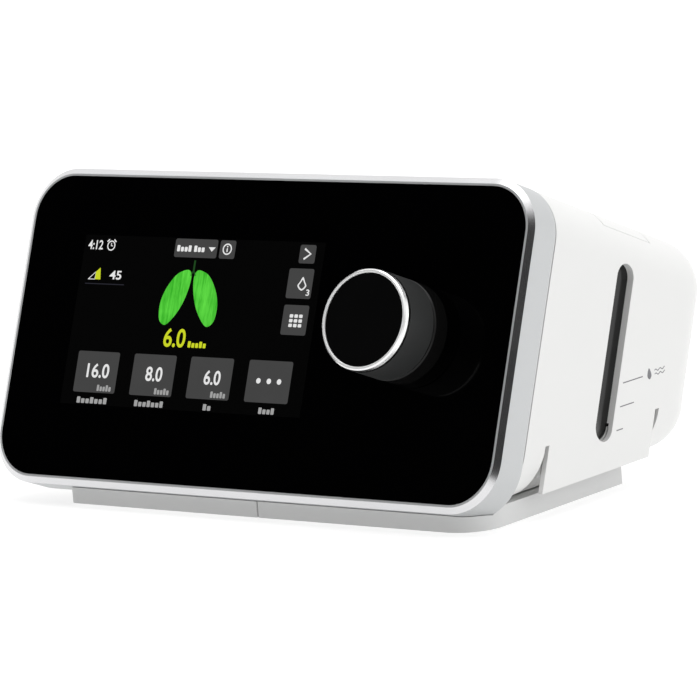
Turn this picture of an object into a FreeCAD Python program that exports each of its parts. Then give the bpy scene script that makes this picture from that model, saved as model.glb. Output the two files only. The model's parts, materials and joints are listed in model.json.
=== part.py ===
import FreeCAD, Part

import math
import os

import Sketcher
from FreeCAD import Placement, Rotation, Vector

# Desktop ventilator with a built-in humidifier, millimetres, +Z up, front facing -Y.
# The origin is on the table, at the middle of the whole object's box.
# Two frames are used. LEVEL has x to the right, y back and z up. TILTED leans back with the front
# face: x to the right, y back at right angles to the glass and z up along the glass, starting from
# the glass's bottom edge. A place in either frame is written (x, y, z).

SIZES = {
    # the whole casing
    "tilt": 21.3,
    "depth_centre": 75.0,
    "lift": 11.4,
    "body_depth": 115.6,
    "belly": 8.4,
    "wall": 2.6,
    "seam": 0.7,
    "flush": 0.15,
    "skirt_radius": 17.0,
    "rear_radius": 14.0,
    # glass and bezel
    "glass_width": 221.3,
    "glass_height": 111.3,
    "glass_radius": 16.0,
    "glass_thick": 1.8,
    "rim": 3.1,
    "bezel_depth": 14.0,
    "ledge": 4.2,
    "rim_chamfer": 2.2,
    "bevel_deep": 1.5,
    # display, chassis and board
    "screen_x": -29.6,
    "screen_z": 58.1,
    "display_width": 119.0,
    "display_height": 72.0,
    "display_back": 6.8,
    "chassis_front": 6.8,
    "chassis_back": 9.3,
    "board_front": 12.0,
    "board_back": 13.6,
    "board_left": -100.0,
    "board_right": 6.0,
    "board_low": 14.0,
    "board_high": 98.0,
    # knob
    "knob_x": 66.05,
    "knob_z": 58.6,
    "knob_radius": 18.1,
    "knob_reach": 24.6,
    "knob_gap": 0.8,
    "collar_tall": 7.2,
    "knob_travel": 0.7,
    "ring_wide": 1.6,
    "ring_thick": 2.8,
    "shaft_radius": 3.0,
    "running_gap": 0.04,
    # humidifier end
    "split": 84.0,
    "tank_left": 16.0,
    "tank_right": 97.0,
    "tank_front": 44.0,
    "tank_rear": 112.0,
    "tank_low": 14.0,
    "tank_high": 62.0,
    "tank_wall": 2.0,
    "lid_high": 74.0,
    "port_front": 57.0,
    "port_rear": 98.0,
    "port_height": 46.5,
    "port_radius": 8.0,
    "liner_wall": 1.6,
    "slot_middle": 59.5,
    "slot_width": 10.3,
    "slot_low": 33.5,
    "slot_high": 97.0,
    "lip_front": 28.3,
    "lip_rear": 89.6,
    "lip_low": 10.0,
    "lip_thick": 1.8,
    "slit": 2.2,
    "pocket_depth": 11.5,
    "pocket_high": 15.2,
    # release button
    "release_left": 95.6,
    "release_right": 108.2,
    "release_front": 49.5,
    "release_rear": 79.5,
    "release_low": 100.0,
    "release_travel": 1.5,
    # base
    "base_left_end": -78.65,
    "base_right_end": 105.05,
    "base_seam": 8.75,
    "base_front": 3.0,
    "base_rear": 91.0,
    "base_low": 0.8,
    "base_high": 8.1,
    "base_floor": 2.2,
    "base_wall": 2.5,
    "base_shelf": 11.5,
    "base_corner": 14.0,
    "foot_radius": 6.0,
    # heater
    "heater_left": 26.0,
    "heater_right": 90.0,
    "heater_front": 48.0,
    "heater_rear": 86.0,
    "heater_travel": 1.2,
    # blower
    "blower_x": -58.0,
    "blower_y": 83.0,
    "blower_radius": 33.0,
    "blower_low": 30.0,
    "blower_split": 45.0,
    "blower_high": 58.0,
    "axle_radius": 2.0,
    "bearing_radius": 6.0,
    "outlet_x": -2.0,
    "outlet_height": 52.0,
    "outlet_radius": 11.0,
    "outlet_bore": 9.3,
    "outlet_step": 147.5,
    "outlet_relief": 0.3,
    "outlet_end": 158.0,
    # filter
    "filter_left": -86.0,
    "filter_right": -32.0,
    "filter_low": 61.0,
    "filter_high": 97.0,
    # start button, card and power socket
    "start_y": 26.0,
    "start_radius": 7.4,
    "start_travel": 0.8,
    "card_front": 32.0,
    "card_width": 24.0,
    "card_low": 30.0,
    "card_thick": 2.1,
    "card_travel": 15.0,
    "socket_x": 52.0,
    "socket_z": 76.0,
}

doc = FreeCAD.newDocument("ventilator")
dims = doc.addObject("Spreadsheet::Sheet", "dims")
for row, (alias, number) in enumerate(SIZES.items(), start=1):
    dims.set(f"A{row}", alias.replace("_", " "))
    dims.set(f"B{row}", str(number))
    dims.setAlias(f"B{row}", alias)
doc.recompute()


class Size(float):
    """A number that also carries the sheet formula it comes from."""

    def __new__(cls, value, formula):
        size = super().__new__(cls, value)
        size.formula = formula
        return size

    def __add__(self, other):
        return Size(float(self) + float(other), f"({self.formula} + {formula_of(other)})")

    def __radd__(self, other):
        return Size(float(other) + float(self), f"({formula_of(other)} + {self.formula})")

    def __sub__(self, other):
        return Size(float(self) - float(other), f"({self.formula} - {formula_of(other)})")

    def __rsub__(self, other):
        return Size(float(other) - float(self), f"({formula_of(other)} - {self.formula})")

    def __mul__(self, other):
        return Size(float(self) * float(other), f"({self.formula} * {formula_of(other)})")

    __rmul__ = __mul__

    def __truediv__(self, other):
        return Size(float(self) / float(other), f"({self.formula} / {formula_of(other)})")

    def __neg__(self):
        return Size(-float(self), f"(0 - {self.formula})")


def formula_of(number):
    return number.formula if isinstance(number, Size) else f"({float(number):.6f})"


class Cells:
    """Every size of the sheet as an attribute."""


d = Cells()
for alias, number in SIZES.items():
    setattr(d, alias, Size(number, f"dims.{alias}"))

SIN = Size(math.sin(math.radians(d.tilt)), "sin(dims.tilt)")
COS = Size(math.cos(math.radians(d.tilt)), "cos(dims.tilt)")


def bind(obj, name, number):
    """Sets one property, through the sheet where the number comes from there."""
    if isinstance(number, Size):
        obj.setExpression(name, number.formula)
    else:
        setattr(obj, name, number)


# --- frames ---------------------------------------------------------------------------------------

LEVEL = "level"
TILTED = "tilted"
TURNS = {
    "x": Rotation(Vector(0, 1, 0), 90),
    "y": Rotation(Vector(1, 0, 0), -90),
    "z": Rotation(),
}


def to_world(frame, x, y, z):
    if frame == LEVEL:
        return x, y - d.depth_centre, z
    return x, z * SIN + y * COS - d.depth_centre, z * COS - y * SIN + d.lift


def turn_of(frame):
    return Rotation(Vector(1, 0, 0), -float(d.tilt)) if frame == TILTED else Rotation()


def settle(obj, frame, x, y, z, axis="z"):
    """Puts an object's own origin at a place of a frame, its own Z along that frame's axis."""
    obj.Placement = Placement(Vector(), turn_of(frame) * TURNS[axis])
    for letter, number in zip("xyz", to_world(frame, x, y, z)):
        obj.setExpression(f"Placement.Base.{letter}", formula_of(number))
    return obj


# --- shapes ---------------------------------------------------------------------------------------


def block(name, frame, x, y, z):
    """A box between pairs of limits."""
    obj = doc.addObject("Part::Box", name)
    for prop, (low, high) in zip(("Length", "Width", "Height"), (x, y, z)):
        bind(obj, prop, high - low)
    return settle(obj, frame, x[0], y[0], z[0])


def rod(name, frame, axis, radius, span, at):
    """A cylinder along an axis; at holds the other two coordinates in x, y, z order."""
    obj = doc.addObject("Part::Cylinder", name)
    bind(obj, "Radius", radius)
    bind(obj, "Height", span[1] - span[0])
    place = list(at)
    place.insert("xyz".index(axis), span[0])
    return settle(obj, frame, *place, axis=axis)


def fuse(name, *shapes):
    obj = doc.addObject("Part::MultiFuse", name)
    obj.Shapes = list(shapes)
    return obj


def group(name, *shapes):
    """Separate solids of one kind, such as identical screws."""
    obj = doc.addObject("Part::Compound", name)
    obj.Links = list(shapes)
    return obj


def cut(name, base, *tools):
    obj = doc.addObject("Part::Cut", name)
    obj.Base = base
    obj.Tool = tools[0] if len(tools) == 1 else fuse(name + "_tools", *tools)
    return obj


def common(name, *shapes):
    obj = doc.addObject("Part::MultiCommon", name)
    obj.Shapes = list(shapes)
    return obj


def ring(name, frame, axis, outer, inner, span, at):
    return cut(
        name,
        rod(name + "_outer", frame, axis, outer, span, at),
        rod(name + "_bore", frame, axis, inner, span, at),
    )


def round_edges(name, base, radius, chosen):
    """Rounds the edges of a finished shape that a test picks out."""
    doc.recompute()
    obj = doc.addObject("Part::Fillet", name)
    obj.Base = base
    edges = enumerate(base.Shape.Edges, start=1)
    obj.Edges = [(i, float(radius), float(radius)) for i, edge in edges if chosen(edge)]
    return obj


def body_on(name, frame, plane, at, x=0, y=0, z=0):
    """A PartDesign body settled in a frame, with an empty sketch on one of its origin planes."""
    body = doc.addObject("PartDesign::Body", name)
    settle(body, frame, x, y, z)
    sketch = body.newObject("Sketcher::SketchObject", name + "_sketch")
    sketch.AttachmentSupport = [(role_of(body, plane), "")]
    sketch.MapMode = "FlatFace"
    bind(sketch, "AttachmentOffset.Base.z", at) if isinstance(at, Size) else None
    if not isinstance(at, Size):
        sketch.AttachmentOffset = Placement(Vector(0, 0, at), Rotation())
    return body, sketch


def role_of(body, role):
    return next(item for item in body.Origin.OriginFeatures if item.Role == role)


def fix(sketch, kind, *where, number):
    """Adds a dimension to a sketch and binds it."""
    index = sketch.addConstraint(Sketcher.Constraint(kind, *where, float(number)))
    if isinstance(number, Size):
        sketch.setExpression(f"Constraints[{index}]", number.formula)


def draw_rounded(sketch, across, up, radius):
    """A rectangle with round corners between pairs of limits."""
    (left, right), (low, high) = across, up
    r = float(radius)
    runs = [
        (left + r, low, right - r, low),
        (right, low + r, right, high - r),
        (right - r, high, left + r, high),
        (left, high - r, left, low + r),
    ]
    for x1, y1, x2, y2 in runs:
        start = Vector(float(x1), float(y1), 0)
        sketch.addGeometry(Part.LineSegment(start, Vector(float(x2), float(y2), 0)), False)
    corners = [(right - r, low + r), (right - r, high - r), (left + r, high - r), (left + r, low + r)]
    for turn, (x, y) in enumerate(corners, start=-1):
        circle = Part.Circle(Vector(float(x), float(y), 0), Vector(0, 0, 1), r)
        first = turn * math.pi / 2
        sketch.addGeometry(Part.ArcOfCircle(circle, first, first + math.pi / 2), False)
    for line in range(4):
        sketch.addConstraint(Sketcher.Constraint("Tangent", line, 2, line + 4, 1))
        sketch.addConstraint(Sketcher.Constraint("Tangent", line + 4, 2, (line + 1) % 4, 1))
    for line, kind in enumerate(["Horizontal", "Vertical"] * 2):
        sketch.addConstraint(Sketcher.Constraint(kind, line))
    for arc in (5, 6, 7):
        sketch.addConstraint(Sketcher.Constraint("Equal", 4, arc))
    fix(sketch, "Radius", 4, number=radius)
    fix(sketch, "DistanceX", -1, 1, 3, 1, number=left)
    fix(sketch, "DistanceX", -1, 1, 1, 1, number=right)
    fix(sketch, "DistanceY", -1, 1, 0, 1, number=low)
    fix(sketch, "DistanceY", -1, 1, 2, 1, number=high)


def draw_outline(sketch, points):
    """A closed outline of straight runs, each corner held by the sheet."""
    spots = [Vector(float(x), float(y), 0) for x, y in points]
    for i, spot in enumerate(spots):
        sketch.addGeometry(Part.LineSegment(spot, spots[(i + 1) % len(spots)]), False)
    for i in range(len(spots)):
        sketch.addConstraint(Sketcher.Constraint("Coincident", i, 2, (i + 1) % len(spots), 1))
    for i, (x, y) in enumerate(points):
        for kind, number, axis in (("DistanceX", x, -2), ("DistanceY", y, -1)):
            if abs(float(number)) < 1e-9:
                sketch.addConstraint(Sketcher.Constraint("PointOnObject", i, 1, axis))
            else:
                fix(sketch, kind, -1, 1, i, 1, number=number)


PLANES = {"x": "YZ_Plane", "y": "XZ_Plane", "z": "XY_Plane"}


def slab(name, frame, axis, across, up, radius, span):
    """A block with four round edges along an axis, drawn and padded in its own body."""
    backward = axis == "y"
    start = -span[0] if backward else span[0]
    body, sketch = body_on(name, frame, PLANES[axis], start)
    draw_rounded(sketch, across, up, radius)
    pad = body.newObject("PartDesign::Pad", name + "_pad")
    pad.Profile = sketch
    bind(pad, "Length", span[1] - span[0])
    pad.Reversed = backward
    body.Tip = pad
    return body


def turned(name, frame, axis, points, at=(0, 0)):
    """A piece turned about an axis: points are (radius, place along the axis)."""
    place = list(at)
    place.insert("xyz".index(axis), 0)
    body, sketch = body_on(name, frame, "XZ_Plane", 0, *place)
    body.Placement = Placement(body.Placement.Base, turn_of(frame) * TURNS[axis])
    draw_outline(sketch, points)
    spin = body.newObject("PartDesign::Revolution", name + "_spin")
    spin.Profile = sketch
    spin.ReferenceAxis = (sketch, ["V_Axis"])
    spin.Angle = 360
    body.Tip = spin
    return body


def shape_edges(name, body, kind, size, chosen, second=None):
    """Rounds or bevels the edges of a body that a test picks out."""
    doc.recompute()
    base = body.Tip
    obj = body.newObject(f"PartDesign::{kind}", name)
    edges = enumerate(base.Shape.Edges, start=1)
    obj.Base = (base, [f"Edge{i}" for i, edge in edges if chosen(edge)])
    bind(obj, "Radius" if kind == "Fillet" else "Size", size)
    if second is not None:
        obj.ChamferType = "Two distances"
        bind(obj, "Size2", second)
    body.Tip = obj
    return body


def coil(name, frame, axis, radius, wire, span, turns, at):
    """A compression spring: a wire circle swept along a helix."""
    place = list(at)
    place.insert("xyz".index(axis), span[0] + wire)
    helix = doc.addObject("Part::Helix", name + "_line")
    bind(helix, "Radius", radius)
    bind(helix, "Height", span[1] - span[0] - wire * 2)
    bind(helix, "Pitch", (span[1] - span[0] - wire * 2) / turns)
    section = doc.addObject("Part::Circle", name + "_wire")
    section.Radius = wire
    bind(section, "Placement.Base.x", radius) if isinstance(radius, Size) else None
    section.Placement = Placement(Vector(float(radius), 0, 0), Rotation(Vector(1, 0, 0), 90))
    doc.recompute()
    sweep = doc.addObject("Part::Sweep", name)
    sweep.Sections = [section]
    sweep.Spine = (helix, [f"Edge{i + 1}" for i in range(len(helix.Shape.Edges))])
    sweep.Solid = True
    sweep.Frenet = True
    return settle(sweep, frame, *place, axis=axis)


def middle_near(edge, axis, number, slack=0.02):
    """Whether the whole edge lies at one coordinate of its own frame."""
    ends = [getattr(edge.valueAt(t), axis) for t in (edge.FirstParameter, edge.LastParameter)]
    halfway = getattr(edge.valueAt((edge.FirstParameter + edge.LastParameter) / 2), axis)
    return all(abs(value - float(number)) < slack for value in ends + [halfway])


PARTS = {}


def part(obj, label):
    """Names a finished sub-part after the file it goes to."""
    obj.Label = label
    PARTS[label] = obj
    return obj


# --- the casing's outer form ----------------------------------------------------------------------

HALF = d.glass_width / 2 + d.rim
BEZEL_TOP = d.glass_height + d.rim
CASE_RADIUS = d.glass_radius + d.rim


def casing(name, inset, front):
    """The casing's form, inset by a wall: the bezel's outline carried back, over a level belly."""
    side = HALF - d.flush - inset
    back = d.body_depth - inset
    carried = slab(
        name + "_carried", TILTED, "y",
        (-side, side), (-d.rim + d.flush + inset, BEZEL_TOP - d.flush - inset),
        CASE_RADIUS - inset, (front, back),
    )
    level = slab(
        name + "_level", LEVEL, "y", (-side, side), (d.belly + inset, 160), d.skirt_radius - inset,
        (-60, 200),
    )
    rough = common(name + "_rough", carried, level)

    def on_rear(edge):
        spots = [edge.valueAt(t) for t in (edge.FirstParameter, edge.LastParameter)]
        spots.append(edge.valueAt((edge.FirstParameter + edge.LastParameter) / 2))
        depth = [
            (p.y + float(d.depth_centre)) * float(COS) - (p.z - float(d.lift)) * float(SIN)
            for p in spots
        ]
        return all(abs(value - float(back)) < 0.02 for value in depth)

    return round_edges(name, rough, d.rear_radius - inset, on_rear)


# --- front ----------------------------------------------------------------------------------------


def build_front():
    half_glass = d.glass_width / 2
    glass = slab(
        "glass_plate", TILTED, "y", (-half_glass, half_glass), (0, d.glass_height),
        d.glass_radius, (0, d.glass_thick),
    )
    hole = rod("glass_hole", TILTED, "y", 8, (-5, 5), (d.knob_x, d.knob_z))
    part(cut("front_glass", glass, hole), "front_glass")

    frame = slab(
        "bezel_block", TILTED, "y", (-HALF, HALF), (-d.rim, BEZEL_TOP), CASE_RADIUS,
        (0, d.bezel_depth),
    )
    shape_edges(
        "bezel_bevel", frame, "Chamfer", d.bevel_deep, lambda e: middle_near(e, "y", 0), d.rim_chamfer,
    )
    pocket = slab(
        "bezel_pocket", TILTED, "y", (-half_glass - 0.15, half_glass + 0.15),
        (-0.15, d.glass_height + 0.15), d.glass_radius + 0.15, (-3, d.glass_thick),
    )
    opening = slab(
        "bezel_opening", TILTED, "y", (-half_glass + d.ledge, half_glass - d.ledge),
        (d.ledge, d.glass_height - d.ledge), d.glass_radius - d.ledge, (-3, d.bezel_depth + 3),
    )
    rim = cut("bezel_rim", frame, pocket, opening)
    lugs = [
        block(f"bezel_lug_{i}", TILTED, (min(x, x / 98 * 108), max(x, x / 98 * 108)),
              (d.glass_thick + 0.4, d.chassis_front), (z - 5, z + 4))
        for i, (x, z) in enumerate(chassis_screw_spots())
    ]
    lugs += [
        rod(f"bezel_stud_{i}", TILTED, "y", 4, (d.glass_thick + 0.4, d.chassis_front), spot)
        for i, spot in enumerate(chassis_screw_spots())
    ]
    part(
        cut("bezel", fuse("bezel_solid", rim, *lugs, bezel_tongue()), *[
            rod(f"bezel_tap_{i}", TILTED, "y", 1.45, (3, 30), spot)
            for i, spot in enumerate(chassis_screw_spots())
        ]),
        "bezel",
    )

    play = 0.3
    plate = slab(
        "chassis_plate", TILTED, "y",
        (-half_glass + d.ledge + play, half_glass - d.ledge - play),
        (d.ledge + play, d.glass_height - d.ledge - play), d.glass_radius - d.ledge - play,
        (d.chassis_front, d.chassis_back),
    )
    neck_hole = rod("chassis_hole", TILTED, "y", 4.6, (0, 20), (d.knob_x, d.knob_z))
    ribbon_slot = block("chassis_slot", TILTED, (-32, -8), (0, 20), (29.8, 32.8))
    spots = board_screw_spots()
    posts = []
    holes = []
    for i, spot in enumerate(spots):
        posts.append(rod(f"chassis_post_{i}", TILTED, "y", 3, (d.chassis_front, d.board_front), spot))
        holes.append(rod(f"chassis_tap_{i}", TILTED, "y", 1.4, (8, 20), spot))
    corner = chassis_screw_spots()
    for i, spot in enumerate(corner):
        holes.append(rod(f"chassis_lug_{i}", TILTED, "y", 1.7, (0, 20), spot))
    body = fuse("chassis_solid", plate, *posts)
    part(cut("chassis", body, neck_hole, ribbon_slot, *holes), "chassis")
    part(
        group("chassis_screws", *[screw(f"chassis_screw_{i}", TILTED, "y", s, d.chassis_back, 1, 1.4, 5.5)
                                  for i, s in enumerate(corner)]),
        "chassis_screws",
    )


def chassis_screw_spots():
    return [(x, z) for x in (-98, 98) for z in (10, 101.3)]


def board_screw_spots():
    return [(x, z) for x in (-95, 1) for z in (19, 93)]


def bezel_tongue():
    """The lip behind the bezel that plugs into the housing's open front, left clear of the drawer."""
    inset = d.wall + d.flush + 0.3
    outer = slab(
        "tongue_outer", TILTED, "y", (-HALF + inset, HALF - inset), (-d.rim + inset, BEZEL_TOP - inset),
        CASE_RADIUS - inset, (d.bezel_depth - 1, d.bezel_depth + 4),
    )
    inner = slab(
        "tongue_inner", TILTED, "y", (-HALF + inset + 1.8, HALF - inset - 1.8),
        (-d.rim + inset + 1.8, BEZEL_TOP - inset - 1.8), CASE_RADIUS - inset - 1.8,
        (d.bezel_depth - 2, d.bezel_depth + 6),
    )
    keep = block(
        "tongue_keep", LEVEL, (-150, d.knob_x - 16), (-60, 220), (d.belly + d.skirt_radius + 2, 160)
    )
    return common("bezel_tongue", cut("tongue_ring", outer, inner), keep)


def screw(name, frame, axis, at, seat, way, shank, length):
    """A cross-head screw: its head stands on the seat, its shank goes the other way."""
    head_tall = 1.6
    head_radius = shank * 1.9
    if way > 0:
        head_span, shank_span = (seat, seat + head_tall), (seat - length, seat)
        notch_span = (seat + head_tall - 0.8, seat + head_tall + 1)
    else:
        head_span, shank_span = (seat - head_tall, seat), (seat, seat + length)
        notch_span = (seat - head_tall - 1, seat - head_tall + 0.8)
    head = rod(name + "_head", frame, axis, head_radius, head_span, at)
    shank_rod = rod(name + "_shank", frame, axis, shank, shank_span, at)
    solid = fuse(name + "_solid", head, shank_rod)
    notches = []
    for turn, (a, b) in enumerate([(1.9, 0.35), (0.35, 1.9)]):
        limits = [(at[0] - a, at[0] + a), (at[1] - b, at[1] + b)]
        limits.insert("xyz".index(axis), notch_span)
        notches.append(block(f"{name}_notch_{turn}", frame, *limits))
    return cut(name, solid, *notches)


def build_display():
    half = d.display_width / 2
    left, right = d.screen_x - half, d.screen_x + half
    low, high = d.screen_z - d.display_height / 2, d.screen_z + d.display_height / 2
    part(
        slab("display", TILTED, "y", (left, right), (low, high), 1.0,
             (d.glass_thick, d.display_back)),
        "display",
    )
    border = slab(
        "gasket_block", TILTED, "y", (left - 3, right + 3), (low - 3, high + 3), 3.0,
        (d.glass_thick, d.display_back),
    )
    window = block("gasket_window", TILTED, (left - 0.2, right + 0.2), (0, 20), (low - 0.2, high + 0.2))
    part(cut("display_gasket", border, window), "display_gasket")

    board = slab(
        "board_plate", TILTED, "y", (d.board_left, d.board_right), (d.board_low, d.board_high), 2.0,
        (d.board_front, d.board_back),
    )
    spots = board_screw_spots()
    holes = [rod(f"board_hole_{i}", TILTED, "y", 1.5, (5, 20), s) for i, s in enumerate(spots)]
    slot = block("board_slot", TILTED, (-32, -8), (5, 20), (29.8, 32.8))
    part(cut("main_board", board, slot, *holes), "main_board")
    part(
        group("board_screws", *[screw(f"board_screw_{i}", TILTED, "y", s, d.board_back, 1, 1.3, 3.4)
                                for i, s in enumerate(spots)]),
        "board_screws",
    )
    back = d.board_back
    chips = [
        block("chip_processor", TILTED, (-72, -52), (back, back + 1.6), (46, 66)),
        block("chip_memory", TILTED, (-44, -32), (back, back + 1.2), (50, 64)),
        block("chip_driver", TILTED, (-24, -14), (back, back + 1.4), (60, 70)),
        block("plug_motor", TILTED, (-96, -84), (back, back + 3.8), (60, 66)),
        block("plug_heater", TILTED, (-10, 2), (back, back + 3.8), (40, 46)),
        block("plug_ribbon", TILTED, (-31, -9), (back, back + 2.2), (42.2, 46)),
    ]
    cans = [
        rod(f"can_{i}", TILTED, "y", 3.2, (back, back + 4.0), (-90 + 10 * i, 78)) for i in range(4)
    ]
    part(group("board_parts", *chips, *cans), "board_parts")
    ribbon = fuse(
        "ribbon_cable",
        block("ribbon_through", TILTED, (-30, -10), (d.display_back, back + 0.45), (31, 31.4)),
        block("ribbon_up", TILTED, (-30, -10), (back + 0.05, back + 0.45), (31, 42.1)),
    )
    part(ribbon, "ribbon_cable")


# --- knob -----------------------------------------------------------------------------------------


def build_knob():
    at = (d.knob_x, d.knob_z)
    front = -d.knob_reach
    foot = -(d.collar_tall + d.knob_gap)
    outer = d.knob_radius
    part(
        turned("knob_collar", TILTED, "y", [
            (12, -0.02), (outer, -0.02), (outer, -d.collar_tall + 0.5),
            (outer - 0.5, -d.collar_tall), (12, -d.collar_tall),
        ], at),
        "knob_collar",
    )
    neck = front + d.ring_thick
    part(
        turned("knob_body", TILTED, "y", [
            (outer - 2, foot), (outer - 0.2, foot), (outer, foot - 0.2), (outer, neck),
            (d.shaft_radius, neck), (d.shaft_radius, foot), (6.5, foot), (6.5, neck + 3),
            (outer - 2, neck + 3),
        ], at),
        "knob_body",
    )
    inner = outer - d.ring_wide
    part(
        turned("knob_ring", TILTED, "y", [
            (inner, neck), (outer, neck), (outer, front + 1.6), (outer - 0.3, front + 0.5),
            (outer - 0.8, front), (inner + 0.25, front), (inner, front + 0.25),
        ], at),
        "knob_ring",
    )
    part(
        turned("knob_cap", TILTED, "y", [
            (0, neck), (inner - 0.05, neck), (inner - 0.05, front + 0.7), (inner - 0.4, front + 0.4),
            (0, front + 0.4),
        ], at),
        "knob_cap",
    )
    part(rod("encoder_shaft", TILTED, "y", d.shaft_radius, (neck, 14.0), at), "encoder_shaft")
    bore = d.shaft_radius + d.running_gap
    part(ring("encoder_sleeve", TILTED, "y", 5.0, bore, (10.4, 13.6), at), "encoder_sleeve")
    case = slab(
        "case_block", TILTED, "y", (d.knob_x - 7, d.knob_x + 7), (d.knob_z - 7, d.knob_z + 7), 0.8,
        (d.chassis_back + 0.1, 16.5),
    )
    threaded = rod("case_neck", TILTED, "y", 4.5, (3.0, 11), at)
    hollow = rod("case_hollow", TILTED, "y", 5.0 + d.running_gap, (10.3, 15.3), at)
    passage = rod("case_passage", TILTED, "y", bore, (0, 12), at)
    part(cut("encoder_case", fuse("case_solid", case, threaded), hollow, passage), "encoder_case")
    nut = turned("nut_blank", TILTED, "y", [(4.55, 4.3), (7, 4.3), (7, 6.7), (4.55, 6.7)], at)
    sides = [
        block("nut_flats", TILTED, (d.knob_x - 5.5, d.knob_x + 5.5), (0, 10),
              (d.knob_z - 9, d.knob_z + 9)),
    ]
    for i, angle in enumerate((60, 120)):
        flat = doc.addObject("Part::Box", f"nut_turned_{i}")
        flat.Length, flat.Width, flat.Height = 11, 10, 18
        centre = settle(flat, TILTED, d.knob_x, 0, d.knob_z)
        spin = Rotation(Vector(0, 1, 0), angle)
        offset = (turn_of(TILTED) * spin).multVec(Vector(-5.5, 0, -9))
        base = [float(value) for value in to_world(TILTED, d.knob_x, 0, d.knob_z)]
        for letter in "xyz":
            centre.setExpression(f"Placement.Base.{letter}", None)
        centre.Placement = Placement(Vector(*base) + offset, turn_of(TILTED) * spin)
        sides.append(centre)
    part(common("encoder_nut", nut, *sides), "encoder_nut")
    part(
        coil("knob_spring", TILTED, "y", 4.8, 0.5, (-7.2, 2.9), 5, at),
        "knob_spring",
    )


# --- casings --------------------------------------------------------------------------------------


def top_box(name, grow, low, high):
    """A prism over the release button's outline."""
    return block(
        name, TILTED, (d.release_left - grow, d.release_right + grow),
        (d.release_front - grow, d.release_rear + grow), (low, high),
    )


def build_housing():
    front = d.bezel_depth + d.seam
    outer = casing("housing_outer", 0, front)
    inner = casing("housing_inner", d.wall, front - 5)
    end = d.split - 0.2
    keep = block("housing_keep", LEVEL, (-150, end), (-60, 220), (-10, 160))
    hollow = block("housing_hollow", LEVEL, (-150, end - d.wall), (-60, 220), (-10, 160))
    skin = common("housing_skin", outer, keep)
    core = common("housing_core", inner, hollow)
    bay = block(
        "housing_bay", LEVEL, (d.split - 5, d.split + 5), (d.tank_front - 0.9, d.tank_rear + 0.9),
        (d.belly + d.wall, d.lid_high + 2.4),
    )
    start_hole = rod(
        "housing_start_hole", TILTED, "z", d.start_radius + 0.3, (105, 125), (d.knob_x, d.start_y)
    )
    filter_hole = slab(
        "housing_filter_hole", TILTED, "y", (d.filter_left - 0.3, d.filter_right + 0.3),
        (d.filter_low - 0.3, d.filter_high + 0.3), 4.3, (105, 125),
    )
    power_hole = block(
        "housing_power_hole", TILTED, (d.socket_x - 6.2, d.socket_x + 6.2), (98, 125),
        (d.socket_z - 6.2, d.socket_z + 6.2),
    )
    outlet_hole = rod(
        "housing_outlet_hole", LEVEL, "y", d.outlet_radius + 0.3, (120, 170),
        (d.outlet_x, d.outlet_height),
    )
    card_hole = block(
        "housing_card_hole", LEVEL, (-125, -105), (d.card_front - 0.5, d.card_front + d.card_width + 0.5),
        (d.card_low - 0.5, d.card_low + d.card_thick + 0.5),
    )
    heater_hole = block(
        "housing_heater_hole", LEVEL, (d.heater_left - 0.6, d.split + 5),
        (d.heater_front - 0.6, d.heater_rear + 0.6), (0, d.belly + d.wall + 1),
    )
    vents = [
        block(f"housing_vent_{i}", TILTED, (14 + 4.5 * i, 16 + 4.5 * i), (105, 125), (66, 88))
        for i in range(5)
    ]
    taps = [
        rod(f"housing_tap_{i}", LEVEL, "z", 1.6, (0, d.belly + d.wall), spot)
        for i, spot in enumerate(base_screw_spots())
    ]
    grille = [
        rod(f"housing_speaker_hole_{i}", LEVEL, "x", 1.0, (-125, -105), (94 + 4 * (i % 4), 36 + 4 * (i // 4)))
        for i in range(16)
    ]
    part(
        cut("housing", skin, core, bay, start_hole, filter_hole, power_hole, outlet_hole, card_hole,
            heater_hole, *vents, *taps, *grille),
        "housing",
    )


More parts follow.
